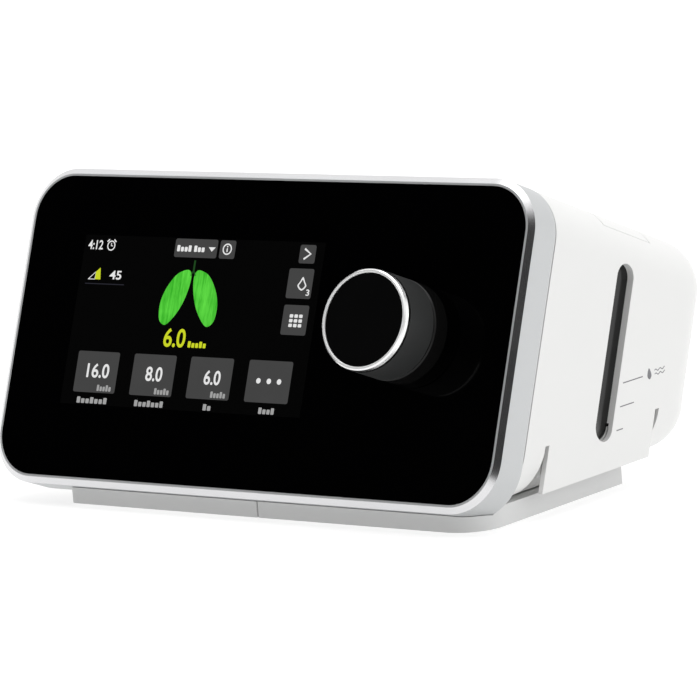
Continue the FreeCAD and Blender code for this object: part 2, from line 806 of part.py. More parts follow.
def build_side_cap():
    front = d.bezel_depth + d.seam
    outer = casing("cap_outer", 0, front)
    inner = casing("cap_inner", d.wall, front + d.wall)
    start = d.split + 0.2
    keep = block("cap_keep", LEVEL, (start, 150), (-60, 220), (-10, 160))
    hollow = block("cap_hollow", LEVEL, (start + d.wall, 150), (-60, 220), (-10, 160))
    side = HALF - d.flush
    inside = side - d.wall
    shell = cut(
        "cap_shell", common("cap_skin", outer, keep), common("cap_core", inner, hollow)
    )
    pocket_left = side - d.wall - d.pocket_depth
    pocket_wall = common(
        "cap_pocket_wall",
        casing("cap_pocket_limit", 0, front),
        block("cap_pocket_prism", TILTED, (pocket_left - 1.9, inside), (d.lip_front - 4, d.lip_rear + 4),
              (-40, 80)),
        block("cap_pocket_level", LEVEL, (80, 130), (-60, 200), (0, d.pocket_high + 1.4)),
    )
    lip = common(
        "cap_lip",
        block("cap_lip_prism", TILTED, (side - d.lip_thick, side), (d.lip_front, d.lip_rear), (-40, 90)),
        block("cap_lip_level", LEVEL, (100, 130), (-60, 200), (d.lip_low, 30)),
    )
    bracket = [
        block("cap_bracket_seat", TILTED, (d.tank_right + 1.5, inside - 2.6), (59, 75), (84, 86.5)),
        block("cap_bracket_arm", TILTED, (inside - 3, inside + 0.5), (67.5, 75), (84, 86.5)),
    ]
    solid = fuse("cap_solid", shell, pocket_wall, *bracket)
    pocket = common(
        "cap_pocket",
        block("cap_pocket_cut", TILTED, (pocket_left, inside), (d.lip_front - d.slit, d.lip_rear + d.slit),
              (-60, 90)),
        block("cap_pocket_cut_level", LEVEL, (80, 130), (-60, 200), (0, d.pocket_high)),
    )
    slits = []
    for i, low in enumerate((d.lip_front - d.slit, d.lip_rear)):
        slits.append(common(
            f"cap_slit_{i}",
            block(f"cap_slit_prism_{i}", TILTED, (pocket_left + 2, 130), (low, low + d.slit), (-60, 90)),
            block(f"cap_slit_level_{i}", LEVEL, (90, 140), (-60, 200), (0, 26)),
        ))
    below = block(
        "cap_below_lip", TILTED, (inside - 0.01, 130), (d.lip_front, d.lip_rear), (-60, 90)
    )
    under = common(
        "cap_under_lip", below, block("cap_under_level", LEVEL, (90, 140), (-60, 200), (0, 26))
    )
    window = slot_prism("cap_window", d.slot_width, (inside - 3, 130), 0)
    release = top_box("cap_release_hole", 0, 92, 125)
    passage = block(
        "cap_passage", LEVEL, (start - 1, start + d.wall + 0.5), (d.tank_front - 0.2, d.tank_rear + 0.2),
        (d.belly + d.wall + 0.5, d.lid_high + 0.6),
    )
    carved = cut("cap_carved", solid, pocket, *slits, under, release, passage)
    part(cut("side_cap", fuse("cap_with_lip", carved, lip), window), "side_cap")

    pane = slot_prism("window_pane", d.slot_width + 3.6, (side - d.wall - 1.6, side - d.wall - 0.02), 1.8)
    part(common("side_window", pane, casing("window_room", d.wall + 0.02, front)), "side_window")

    gap = 0.3
    button = common(
        "release_button",
        casing("release_outer", 0, front),
        block("release_prism", TILTED, (d.release_left + gap, d.release_right - gap),
              (d.release_front + gap, d.release_rear - gap), (d.release_low, 125)),
    )
    part(button, "release_button")
    middle = (103, (d.release_front + d.release_rear) / 2)
    part(
        coil("release_spring", TILTED, "z", 3.5, 0.5, (86.6, d.release_low - d.release_travel - 0.2), 5,
             middle),
        "release_spring",
    )


def slot_prism(name, width, span, grow):
    return slab(
        name, TILTED, "x", (d.slot_middle - width / 2, d.slot_middle + width / 2),
        (d.slot_low - grow, d.slot_high + grow), width / 2 - 0.02, span,
    )


def base_screw_spots():
    return [(-66, 24), (-2, 24), (18, 24), (74, 24), (-66, 80), (-2, 80)]


def build_base():
    halves = {
        "base_left": (d.base_left_end, d.base_seam - 0.2, 3.0),
        "base_right": (d.base_seam + 0.2, d.base_right_end, d.base_corner),
    }
    for name, (left, right, corner) in halves.items():
        depth = (d.base_front, d.base_rear)
        tray = slab(name + "_block", LEVEL, "z", (left, right), depth, 0.6, (d.base_low, d.base_high))
        outer_end = left if name == "base_left" else right

        def at_outer_front(edge, outer_end=outer_end):
            """The vertical edges of the half's outer front corner."""
            spots = [edge.valueAt(t) for t in (edge.FirstParameter, edge.LastParameter)]
            upright = abs(spots[0].z - spots[1].z) > 5
            near = abs(spots[0].x - float(outer_end)) < 1 and spots[0].y < float(d.base_front) + 1
            return upright and near

        trim = corner_cutter(name + "_corner", outer_end, name == "base_left", corner)
        shelf = d.base_wall if name == "base_left" else d.base_shelf
        pocket = slab(
            name + "_pocket", LEVEL, "z", (left + d.base_wall, right - shelf),
            (d.base_front + d.base_wall, d.base_rear - d.base_wall), 12.0,
            (d.base_low + d.base_floor, d.base_high + 5),
        )
        envelope = slab(
            name + "_bezel_room", TILTED, "y", (-HALF - 0.2, HALF + 0.2),
            (-d.rim - 0.2, BEZEL_TOP), CASE_RADIUS + 0.2, (-2, d.bezel_depth + 0.2),
        )
        bosses = [
            rod(f"{name}_boss_{i}", LEVEL, "z", 3.8, (d.base_low, d.belly), spot)
            for i, spot in enumerate(base_screw_spots()) if left < spot[0] < right
        ]
        tray = fuse(name + "_solid", cut(name + "_shell", tray, pocket), *bosses)
        tools = [trim, envelope]
        for i, (x, y) in enumerate(base_screw_spots()):
            if left < x < right:
                sink = (0, d.base_low + 1.7)
                tools.append(rod(f"{name}_sink_{i}", LEVEL, "z", 3.3, sink, (x, y)))
                tools.append(rod(f"{name}_hole_{i}", LEVEL, "z", 1.8, (0, 20), (x, y)))
        part(cut(name, tray, *tools), name)

    spots = [(-68, 17), (-68, 81), (90, 19), (94, 81)]
    feet = [
        rod(f"foot_{i}", LEVEL, "z", d.foot_radius, (0, d.base_low), spot) for i, spot in enumerate(spots)
    ]
    part(group("feet", *feet), "feet")
    seat = d.base_low + 1.7
    screws = [
        screw(f"base_screw_{i}", LEVEL, "z", spot, seat, -1, 1.6, 8.6)
        for i, spot in enumerate(base_screw_spots())
    ]
    part(group("base_screws", *screws), "base_screws")


def corner_cutter(name, end, is_left, radius):
    """What is left of a square corner outside its quarter round."""
    front = d.base_front
    if is_left:
        square = block(name + "_square", LEVEL, (end - 1, end + radius), (front - 1, front + radius), (0, 20))
        quarter = rod(name + "_round", LEVEL, "z", radius, (0, 20), (end + radius, front + radius))
    else:
        square = block(name + "_square", LEVEL, (end - radius, end + 1), (front - 1, front + radius), (0, 20))
        quarter = rod(name + "_round", LEVEL, "z", radius, (0, 20), (end - radius, front + radius))
    return cut(name, square, quarter)


# --- humidifier -----------------------------------------------------------------------------------


def build_humidifier():
    floor = d.belly + d.wall
    left = d.tank_left - 4
    room = (d.tank_front - 0.9, d.tank_rear + 0.9)
    liner_front = room[0] - d.liner_wall
    liner_rear = room[1] + d.liner_wall
    ceiling = d.lid_high + 2.4
    shell = block(
        "liner_block", LEVEL, (left, d.split - d.wall - 0.3), (liner_front, liner_rear),
        (floor + 0.15, ceiling + d.liner_wall),
    )
    hollow = block("liner_hollow", LEVEL, (left + 1.8, d.split), room, (0, ceiling))
    ports = [(d.port_front, d.port_height), (d.port_rear, d.port_height)]
    holes = [
        rod(f"liner_port_{i}", LEVEL, "x", d.port_radius + 0.6, (left - 5, left + 5), spot)
        for i, spot in enumerate(ports)
    ]
    part(cut("bay_liner", shell, hollow, *holes), "bay_liner")
    seals = [
        ring(f"dock_seal_{i}", LEVEL, "x", d.port_radius + 2.4, d.port_radius + 0.06,
             (left + 1.85, d.tank_left - 0.1), spot)
        for i, spot in enumerate(ports)
    ]
    part(group("dock_seals", *seals), "dock_seals")

    plate_top = d.tank_low + 1.5
    across = (d.tank_left, d.tank_right)
    depth = (d.tank_front, d.tank_rear)
    outer = slab("tank_block", LEVEL, "z", across, depth, 4.0, (plate_top, d.tank_high))
    inner = slab(
        "tank_hollow", LEVEL, "z", (across[0] + d.tank_wall, across[1] - d.tank_wall),
        (depth[0] + d.tank_wall, depth[1] - d.tank_wall), 2.0, (0, 90),
    )
    spigots = [
        rod(f"tank_spigot_{i}", LEVEL, "x", d.port_radius, (left + 0.4, d.tank_left + 1), spot)
        for i, spot in enumerate(ports)
    ]
    bores = [
        rod(f"tank_bore_{i}", LEVEL, "x", d.port_radius - 1.4, (left - 1, d.tank_left + 5), spot)
        for i, spot in enumerate(ports)
    ]
    part(
        cut("tank_body", fuse("tank_solid", outer, *spigots), inner, *bores), "tank_body"
    )
    part(slab("tank_plate", LEVEL, "z", across, depth, 4.0, (d.tank_low, plate_top)), "tank_plate")
    rim_out = slab(
        "seal_block", LEVEL, "z", (across[0] + 0.3, across[1] - 0.3), (depth[0] + 0.3, depth[1] - 0.3),
        3.7, (d.tank_high, d.tank_high + 0.8),
    )
    rim_in = slab(
        "seal_hollow", LEVEL, "z", (across[0] + 2, across[1] - 2), (depth[0] + 2, depth[1] - 2), 2.0,
        (0, 90),
    )
    part(cut("tank_seal", rim_out, rim_in), "tank_seal")
    lid = slab("lid_block", LEVEL, "z", across, depth, 4.0, (d.tank_high + 0.8, d.lid_high))
    shape_edges("lid_round", lid, "Fillet", 2.5, lambda e: middle_near(e, "z", d.lid_high))
    dome = slab(
        "lid_hollow", LEVEL, "z", (across[0] + 2.2, across[1] - 2.2), (depth[0] + 2.2, depth[1] - 2.2),
        2.0, (0, d.lid_high - 2),
    )
    part(cut("tank_lid", lid, dome), "tank_lid")

    across = (d.heater_left, d.heater_right - 8)
    depth = (d.heater_front, d.heater_rear)
    pad_low = floor
    part(
        slab("heater_pad", LEVEL, "z", across, depth, 3.0, (pad_low, pad_low + 0.8)), "heater_pad"
    )
    part(
        slab("heater_plate", LEVEL, "z", across, depth, 3.0, (pad_low + 0.8, d.tank_low)),
        "heater_plate",
    )
    spots = [(x, y) for x in (34, 74) for y in (54, 80)]
    coils = [
        coil(f"heater_coil_{i}", LEVEL, "z", 3.0, 0.5,
             (d.base_low + d.base_floor + 0.02, pad_low - d.heater_travel - 0.1), 4, spot)
        for i, spot in enumerate(spots)
    ]
    part(group("heater_springs", *coils), "heater_springs")


# --- blower and air path --------------------------------------------------------------------------


def build_blower():
    at = (d.blower_x, d.blower_y)
    dock = d.tank_left - 4
    channel = (d.port_front - 8, d.port_front + 8)
    gap = 0.1
    low = [
        rod("scroll_low", LEVEL, "z", d.blower_radius, (d.blower_low, d.blower_split), at),
        block("duct_low", LEVEL, (d.blower_x, dock - gap), channel, (37, d.blower_split)),
    ]
    high = [
        rod("scroll_high", LEVEL, "z", d.blower_radius, (d.blower_split, d.blower_high), at),
        block("duct_high", LEVEL, (d.blower_x, dock - gap), channel, (d.blower_split, 55)),
    ]
    cavity_radius = d.blower_radius - 2.5
    duct = (channel[0] + 2, channel[1] - 2)
    part(
        cut(
            "blower_base", fuse("base_solid", *low),
            rod("scroll_low_room", LEVEL, "z", cavity_radius, (34, 50), at),
            block("duct_low_room", LEVEL, (d.blower_x, 30), duct, (39, 50)),
            rod("upper_seat", LEVEL, "z", d.bearing_radius, (20, 40), at),
        ),
        "blower_base",
    )
    part(
        cut(
            "blower_cover", fuse("cover_solid", *high),
            rod("scroll_high_room", LEVEL, "z", cavity_radius, (40, 55.5), at),
            block("duct_high_room", LEVEL, (d.blower_x, 30), duct, (40, 53)),
            rod("eye", LEVEL, "z", 14, (50, 70), at),
        ),
        "blower_cover",
    )
    cup = cut(
        "cup_shell",
        rod("cup_block", LEVEL, "z", 15, (14, d.blower_low), at),
        rod("cup_room", LEVEL, "z", 13, (16.2, 40), at),
    )
    seat = ring("cup_seat", LEVEL, "z", 8, d.bearing_radius, (16.2, 19), at)
    part(fuse("motor_cup", cup, seat), "motor_cup")
    part(ring("motor_stator", LEVEL, "z", 12.95, 7.5, (21, 29), at), "motor_stator")
    part(ring("motor_magnet", LEVEL, "z", 7.0, d.axle_radius, (21, 29), at), "motor_magnet")
    part(rod("motor_shaft", LEVEL, "z", d.axle_radius, (17, 50), at), "motor_shaft")
    inner = d.axle_radius + d.running_gap
    for name, span in (("bearing_lower", (16.3, 20)), ("bearing_upper", (30.2, 33.8))):
        part(ring(name, LEVEL, "z", d.bearing_radius, inner, span, at), name)

    post_spots = [
        (d.blower_x + 26 * math.cos(math.radians(a)), d.blower_y + 26 * math.sin(math.radians(a)))
        for a in (35, 145, 215, 325)
    ]
    posts = [
        rod(f"mount_{i}", LEVEL, "z", 4, (d.belly + d.wall, d.blower_low), spot)
        for i, spot in enumerate(post_spots)
    ]
    part(group("blower_mounts", *posts), "blower_mounts")

    hub = rod("hub", LEVEL, "z", 7, (38, 50), at)
    disc = rod("disc", LEVEL, "z", 25, (38, 39.2), at)
    blades = []
    for i in range(9):
        blade = doc.addObject("Part::Box", f"blade_{i}")
        blade.Length, blade.Width, blade.Height = 19, 1.2, 12.5
        spin = Rotation(Vector(0, 0, 1), 40 * i)
        lean = spin * Rotation(Vector(0, 0, 1), -28)
        start = spin.multVec(Vector(6.2, 0, 0))
        base = Vector(*[float(v) for v in to_world(LEVEL, d.blower_x, d.blower_y, 39)])
        blade.Placement = Placement(base + start, lean)
        blades.append(blade)
    solid = fuse("impeller_solid", hub, disc, *blades)
    part(
        cut("impeller", solid, rod("impeller_bore", LEVEL, "z", d.axle_radius, (30, 60), at)), "impeller"
    )


def build_air_path():
    duct = block("intake_block", LEVEL, (-84, -34), (64, 134), (d.blower_high, 71))
    room = block("intake_room", LEVEL, (-82.4, -35.6), (65.6, 140), (59.6, 69.4))
    eye = rod("intake_eye", LEVEL, "z", 14, (50, 65), (d.blower_x, d.blower_y))
    thin = 1.6
    high = d.filter_high + 7.5
    tray = block(
        "filter_tray", TILTED, (d.filter_left, d.filter_right), (102.4, 111.8), (d.filter_low - 1, high)
    )
    tray_room = block(
        "filter_tray_room", TILTED, (d.filter_left + thin, d.filter_right - thin), (102.4 + thin, 160),
        (d.filter_low - 1 + thin, high - thin),
    )
    part(cut("inlet_duct", fuse("intake_solid", duct, tray), room, tray_room, eye), "inlet_duct")

    part(
        block("filter_foam", TILTED, (d.filter_left + thin, d.filter_right - thin), (104, 111.5),
              (d.filter_low - 1 + thin, d.filter_high)),
        "filter_foam",
    )
    lid = slab(
        "filter_plate", TILTED, "y", (d.filter_left, d.filter_right), (d.filter_low, d.filter_high),
        4.0, (113.3, d.body_depth + 0.2),
    )
    louvres = [
        block(f"louvre_{i}", TILTED, (d.filter_left + 7, d.filter_right - 7), (105, 130),
              (d.filter_low + 5 + 4 * i, d.filter_low + 7 + 4 * i))
        for i in range(7)
    ]
    part(cut("filter_cover", lid, *louvres), "filter_cover")

    x, z = d.outlet_x, d.outlet_height
    dock = d.tank_left - 4
    duct_end = 131.4
    neck = d.outlet_radius - d.outlet_relief
    body = fuse(
        "outlet_solid",
        block("outlet_run", LEVEL, (x - 10, x + 10), (d.port_rear - 10, duct_end), (z - 10, z + 10)),
        block("outlet_branch", LEVEL, (x - 10, dock - 0.1), (d.port_rear - 10, d.port_rear + 10),
              (z - 14, z + 6)),
        block("outlet_foot", LEVEL, (x - 4, x + 4), (d.port_rear + 2, d.port_rear + 13),
              (d.belly + d.wall, z - 8)),
    )
    along = rod("outlet_along", LEVEL, "y", 8, (d.port_rear - 8, duct_end + 5), (x, z))
    inward = rod("outlet_inward", LEVEL, "x", 7, (x, dock + 5), (d.port_rear, d.port_height))
    part(cut("outlet_duct", body, along, inward), "outlet_duct")
    part(
        ring("outlet_seal", LEVEL, "y", neck, d.outlet_bore, (duct_end, 132.0), (x, z)),
        "outlet_seal",
    )
    part(
        turned("outlet_port", LEVEL, "y", [
            (d.outlet_bore, 132.0), (neck, 132.0), (neck, d.outlet_step),
            (d.outlet_radius, d.outlet_step), (d.outlet_radius, d.outlet_end - 0.8),
            (d.outlet_radius - 0.8, d.outlet_end), (d.outlet_bore, d.outlet_end),
        ], (x, z)),
        "outlet_port",
    )


# --- small parts ----------------------------------------------------------------------------------


def build_small_parts():
    x, z = d.socket_x, d.socket_z
    shell = slab("socket_block", TILTED, "y", (x - 6, x + 6), (z - 6, z + 6), 1.0, (100, d.body_depth))
    mouth = rod("socket_mouth", TILTED, "y", 3.2, (104, 130), (x, z))
    pin = rod("socket_pin", TILTED, "y", 1.05, (103, 114), (x, z))
    part(fuse("power_socket", cut("socket_shell", shell, mouth), pin), "power_socket")

    at = (d.knob_x, d.start_y)
    top = BEZEL_TOP - d.flush
    r = d.start_radius
    under = top - d.wall - 0.25
    part(
        turned("start_button", TILTED, "z", [
            (0, under - 4), (r - 3, under - 4), (r - 3, under - 1.6), (r + 1.6, under - 1.6),
            (r + 1.6, under), (r, under), (r, top + 0.5), (r - 0.6, top + 0.9), (r - 3.5, top + 0.6),
            (0, top + 0.5),
        ], at),
        "start_button",
    )
    shelf = slab(
        "switch_shelf", TILTED, "z", (d.knob_x - 13, d.knob_x + 13), (d.start_y - 5, d.start_y + 5), 1.0,
        (96, 99.5),
    )
    legs = [
        block(f"switch_leg_{i}", TILTED, (x, x + 2.5), (d.start_y - 5, d.start_y + 5), (97, top - d.wall))
        for i, x in enumerate((d.knob_x - 13, d.knob_x + 10.5))
    ]
    part(fuse("start_switch", shelf, *legs), "start_switch")
    part(
        coil("start_spring", TILTED, "z", 3.2, 0.5, (99.52, under - 4 - d.start_travel - 0.1), 4, at),
        "start_spring",
    )

    front, low = d.card_front, d.card_low
    body = block("card_body", LEVEL, (-111, -82.5), (front - 1, front + d.card_width + 1), (27.5, 34.6))
    room = block(
        "card_room", LEVEL, (-120, -83.5), (front - 0.1, front + d.card_width + 0.1),
        (low - 0.1, low + d.card_thick + 0.1),
    )
    part(cut("card_socket", body, room), "card_socket")
    part(
        block("memory_card", LEVEL, (-113.3, -84), (front, front + d.card_width),
              (low, low + d.card_thick)),
        "memory_card",
    )
    part(
        turned("speaker", LEVEL, "x", [
            (0, -106), (5, -106), (12, -111), (13, -111), (13, -105), (6, -103), (0, -103),
        ], (100, 42)),
        "speaker",
    )


def check(obj):
    if "Invalid" in obj.State or "Error" in obj.State:
        raise RuntimeError(f"{obj.Name} failed: {obj.State}")


build_front()
build_display()
build_knob()
build_housing()
build_side_cap()
build_base()
build_humidifier()
build_blower()
build_air_path()
build_small_parts()
doc.recompute()

for item in doc.Objects:
    check(item)

os.makedirs("parts", exist_ok=True)
for label, item in PARTS.items():
    if item.Shape.isNull() or not item.Shape.isValid():
        raise RuntimeError(f"{label} is not a valid shape")
    item.Shape.exportStep(os.path.join("parts", f"{label}.step"))

whole = Part.makeCompound([item.Shape for item in PARTS.values()])
box = whole.BoundBox
print(f"{len(PARTS)} parts, x {box.XMin:.2f} {box.XMax:.2f}, y {box.YMin:.2f} {box.YMax:.2f}, "
      f"z {box.ZMin:.2f} {box.ZMax:.2f}")
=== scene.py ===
import json
import math

import bmesh
import bpy
from mathutils import Matrix, Vector


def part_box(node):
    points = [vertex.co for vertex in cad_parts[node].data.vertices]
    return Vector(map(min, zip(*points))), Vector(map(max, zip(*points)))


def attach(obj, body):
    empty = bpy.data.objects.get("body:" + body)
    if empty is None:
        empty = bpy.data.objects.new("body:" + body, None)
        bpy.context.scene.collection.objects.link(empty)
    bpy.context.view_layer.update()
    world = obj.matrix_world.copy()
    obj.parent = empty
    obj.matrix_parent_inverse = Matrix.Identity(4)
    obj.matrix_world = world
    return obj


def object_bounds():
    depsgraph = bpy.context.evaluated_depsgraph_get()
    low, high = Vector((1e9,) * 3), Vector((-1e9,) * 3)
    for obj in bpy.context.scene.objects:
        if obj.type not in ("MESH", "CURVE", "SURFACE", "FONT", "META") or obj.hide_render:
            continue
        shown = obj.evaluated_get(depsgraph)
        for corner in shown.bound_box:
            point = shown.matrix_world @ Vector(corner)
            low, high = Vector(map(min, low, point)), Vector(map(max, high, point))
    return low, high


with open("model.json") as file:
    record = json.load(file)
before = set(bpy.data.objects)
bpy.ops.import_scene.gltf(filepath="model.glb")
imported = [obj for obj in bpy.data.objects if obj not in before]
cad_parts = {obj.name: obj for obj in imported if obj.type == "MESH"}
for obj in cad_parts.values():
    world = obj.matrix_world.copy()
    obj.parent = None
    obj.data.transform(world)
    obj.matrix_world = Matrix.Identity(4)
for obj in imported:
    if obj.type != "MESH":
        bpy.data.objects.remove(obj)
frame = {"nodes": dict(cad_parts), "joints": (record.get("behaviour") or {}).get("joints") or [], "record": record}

CAD_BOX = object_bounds()
MM = 0.001
NODES = frame["nodes"]
JOINTS = {joint["name"]: joint for joint in frame["joints"]}

# --- the leaning face, read from the CAD ----------------------------------------------------------

INWARD = Vector(JOINTS["knob_push"]["axis"])
UP_FACE = Vector((0, -INWARD.z, INWARD.y))
GLASS_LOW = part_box("front_glass")[0]
GLASS_THICK = 1.8 * MM
GLASS_FOOT = Vector((0, GLASS_LOW.y, GLASS_LOW.z + GLASS_THICK * -INWARD.z))


def face_matrix(lift):
    """x to the right, y up the glass, z out of it, starting at the glass's bottom edge."""
    return Matrix.Translation(GLASS_FOOT - INWARD * lift) @ Matrix((
        (1, 0, 0, 0),
        (0, UP_FACE.y, -INWARD.y, 0),
        (0, UP_FACE.z, -INWARD.z, 0),
        (0, 0, 0, 1),
    ))


# --- materials ------------------------------------------------------------------------------------


class Nodes:
    """A short way to write one material's node tree."""

    def __init__(self, name):
        self.material = bpy.data.materials.new(name)
        self.material.use_nodes = True
        self.tree = self.material.node_tree
        self.tree.nodes.clear()
        self.output = self.add("ShaderNodeOutputMaterial")
        self.shader = self.add("ShaderNodeBsdfPrincipled")
        self.tree.links.new(self.shader.outputs[0], self.output.inputs[0])
        self.place = self.add("ShaderNodeTexCoord").outputs["Object"]

    def add(self, kind, **settings):
        node = self.tree.nodes.new(kind)
        for key, value in settings.items():
            setattr(node, key, value)
        return node

    def feed(self, socket, value):
        if hasattr(value, "links"):
            self.tree.links.new(value, socket)
        elif isinstance(value, (tuple, list)) and len(value) == 3 and socket.type == "RGBA":
            socket.default_value = (*value, 1)
        else:
            socket.default_value = value

    def set(self, **values):
        for key, value in values.items():
            self.feed(self.shader.inputs[key.replace("_", " ")], value)

    def math(self, operation, a, b=0.0, clamp=False):
        node = self.add("ShaderNodeMath", operation=operation, use_clamp=clamp)
        for socket, value in zip(node.inputs, (a, b)):
            self.feed(socket, value)
        return node.outputs[0]

    def stretch(self, vector, scale):
        node = self.add("ShaderNodeMapping")
        self.feed(node.inputs["Vector"], vector)
        node.inputs["Scale"].default_value = scale
        return node.outputs[0]

    def noise(self, scale, detail=3.0, roughness=0.55, vector=None):
        node = self.add("ShaderNodeTexNoise")
        self.feed(node.inputs["Vector"], vector or self.place)
        self.feed(node.inputs["Scale"], scale)
        self.feed(node.inputs["Detail"], detail)
        self.feed(node.inputs["Roughness"], roughness)
        return node.outputs[0]

    def cells(self, scale, feature="F1"):
        node = self.add("ShaderNodeTexVoronoi", feature=feature)
        self.feed(node.inputs["Vector"], self.place)
        self.feed(node.inputs["Scale"], scale)
        return node.outputs["Distance"]

    def ramp(self, value, low, high):
        """Maps a 0..1 value onto a range of numbers."""
        node = self.add("ShaderNodeMapRange")
        self.feed(node.inputs[0], value)
        self.feed(node.inputs[3], low)
        self.feed(node.inputs[4], high)
        return node.outputs[0]

    def step(self, value, low, high):
        """0 below low, 1 above high, smooth between."""
        node = self.add("ShaderNodeMapRange", interpolation_type="SMOOTHSTEP")
        self.feed(node.inputs[0], value)
        self.feed(node.inputs[1], low)
        self.feed(node.inputs[2], high)
        return node.outputs[0]

    def mix(self, share, a, b):
        node = self.add("ShaderNodeMix", data_type="RGBA")
        self.feed(node.inputs[0], share)
        self.feed(node.inputs[6], a)
        self.feed(node.inputs[7], b)
        return node.outputs[2]

    def bump(self, height, strength, distance):
        node = self.add("ShaderNodeBump")
        self.feed(node.inputs["Height"], height)
        node.inputs["Strength"].default_value = strength
        node.inputs["Distance"].default_value = distance
        self.feed(self.shader.inputs["Normal"], node.outputs[0])

    def radius(self, origin):
        """Distance of the shaded point from the knob's axis, in metres."""
        offset = self.add("ShaderNodeVectorMath", operation="SUBTRACT")
        self.feed(offset.inputs[0], self.place)
        offset.inputs[1].default_value = origin
        across = self.add("ShaderNodeVectorMath", operation="CROSS_PRODUCT")
        self.feed(across.inputs[0], offset.outputs[0])
        across.inputs[1].default_value = INWARD
        length = self.add("ShaderNodeVectorMath", operation="LENGTH")
        self.feed(length.inputs[0], across.outputs[0])
        return length.outputs["Value"]

    def along(self, direction, origin):
        """Distance of the shaded point along a direction, in metres."""
        node = self.add("ShaderNodeVectorMath", operation="DOT_PRODUCT")
        self.feed(node.inputs[0], self.place)
        node.inputs[1].default_value = direction
        return self.math("SUBTRACT", node.outputs["Value"], Vector(direction).dot(origin))


def shade(color, factor):
    return tuple(min(1.0, channel * factor) for channel in color)


def plastic(name, color, roughness, grain=1800, bump=0.25, specular=0.5, coat=0.0, spread=0.05):
    """Moulded plastic: a fine spark-eroded grain, faint uneven tone and gloss."""
    m = Nodes(name)
    tone = m.noise(22, 2)
    m.set(
        Base_Color=m.mix(tone, shade(color, 1 - spread), shade(color, 1 + spread)),
        Roughness=m.ramp(m.noise(60, 4), roughness - 0.06, roughness + 0.06),
        Specular_IOR_Level=specular,
    )
    if coat:
        m.set(Coat_Weight=coat, Coat_Roughness=0.06)
    m.bump(m.noise(grain, 2), bump, 0.012 * MM)
    return m.material


def metal(name, color, roughness, stretch, bump=0.15, scratches=0.08):
    """Metal with a fine drawn or turned grain."""
    m = Nodes(name)
    grain = m.noise(1.0, 3, vector=m.stretch(m.place, stretch))
    tone = m.noise(35, 3)
    m.set(
        Base_Color=m.mix(m.ramp(grain, 0.2, 0.8), shade(color, 0.9), shade(color, 1.06)),
        Metallic=1.0,
        Roughness=m.math("ADD", m.ramp(grain, roughness - scratches, roughness + scratches),
                         m.ramp(tone, -0.03, 0.03), clamp=True),
    )
    m.bump(grain, bump, 0.01 * MM)
    return m.material


def rubber(name, color, roughness=0.7):
    """Rubber or silicone: dull, with a dusty, slightly mottled skin."""
    m = Nodes(name)
    dust = m.noise(240, 5, 0.7)
    m.set(
        Base_Color=m.mix(dust, shade(color, 0.85), shade(color, 1.35)),
        Roughness=m.ramp(dust, roughness, min(1.0, roughness + 0.2)),
        Specular_IOR_Level=0.3,
    )
    m.bump(m.noise(1300, 3), 0.35, 0.02 * MM)
    return m.material


def clear(name, color, roughness, haze=0.0):
    """Clear moulded plastic, tinted, with faint flow lines."""
    m = Nodes(name)
    flow = m.noise(1.0, 3, vector=m.stretch(m.place, (60, 60, 260)))
    m.set(
        Base_Color=m.mix(flow, shade(color, 0.96), color),
        Transmission_Weight=1.0 - haze,
        IOR=1.49,
        Roughness=m.ramp(flow, roughness, roughness + 0.05),
    )
    m.bump(flow, 0.08, 0.05 * MM)
    return m.material


def black_glass():
    """Front glass with black print behind it: deep black, polished, with faint waviness and smudges."""
    m = Nodes("front_glass_black")
    smudge = m.noise(14, 4, 0.6)
    m.set(
        Base_Color=m.mix(smudge, (0.0002, 0.0002, 0.0003), (0.0006, 0.0006, 0.0007)),
        Roughness=m.ramp(smudge, 0.03, 0.06),
        Specular_IOR_Level=0.05,
        IOR=1.5,
    )
    m.bump(m.noise(9, 1), 0.02, 0.2 * MM)
    return m.material


def bezel_paint():
    """Silver frame: satin paint on its sides, a polished bevel and a satin line next to the glass."""
    m = Nodes("bezel_silver")
    depth = m.along(INWARD, GLASS_FOOT)
    behind_line = m.step(depth, 0.02 * MM, 0.07 * MM)
    before_side = m.math("SUBTRACT", 1.0, m.step(depth, 1.44 * MM, 1.56 * MM))
    bevel = m.math("MULTIPLY", behind_line, before_side)
    sparkle = m.noise(5200, 2)
    tone = m.noise(30, 3)
    satin = m.mix(sparkle, (0.47, 0.48, 0.485), (0.55, 0.56, 0.565))
    polished = m.mix(tone, (0.66, 0.66, 0.67), (0.74, 0.74, 0.75))
    m.set(
        Base_Color=m.mix(bevel, satin, polished),
        Metallic=m.ramp(bevel, 0.45, 1.0),
        Roughness=m.math("ADD", m.ramp(bevel, 0.40, 0.20), m.ramp(tone, -0.03, 0.03)),
    )
    m.bump(sparkle, 0.06, 0.01 * MM)
    return m.material


def knob_wall():
    """Black knob wall: satin with fine turned rings along its axis."""
    m = Nodes("knob_wall_black")
    depth = m.along(INWARD, GLASS_FOOT)
    rings = m.math("SINE", m.math("MULTIPLY", depth, 2 * math.pi / (0.35 * MM)))
    tone = m.noise(60, 3)
    m.set(
        Base_Color=m.mix(tone, (0.024, 0.025, 0.025), (0.034, 0.035, 0.035)),
        Roughness=m.ramp(m.noise(400, 3), 0.32, 0.42),
        Specular_IOR_Level=0.6,
    )
    m.bump(rings, 0.12, 0.01 * MM)
    return m.material


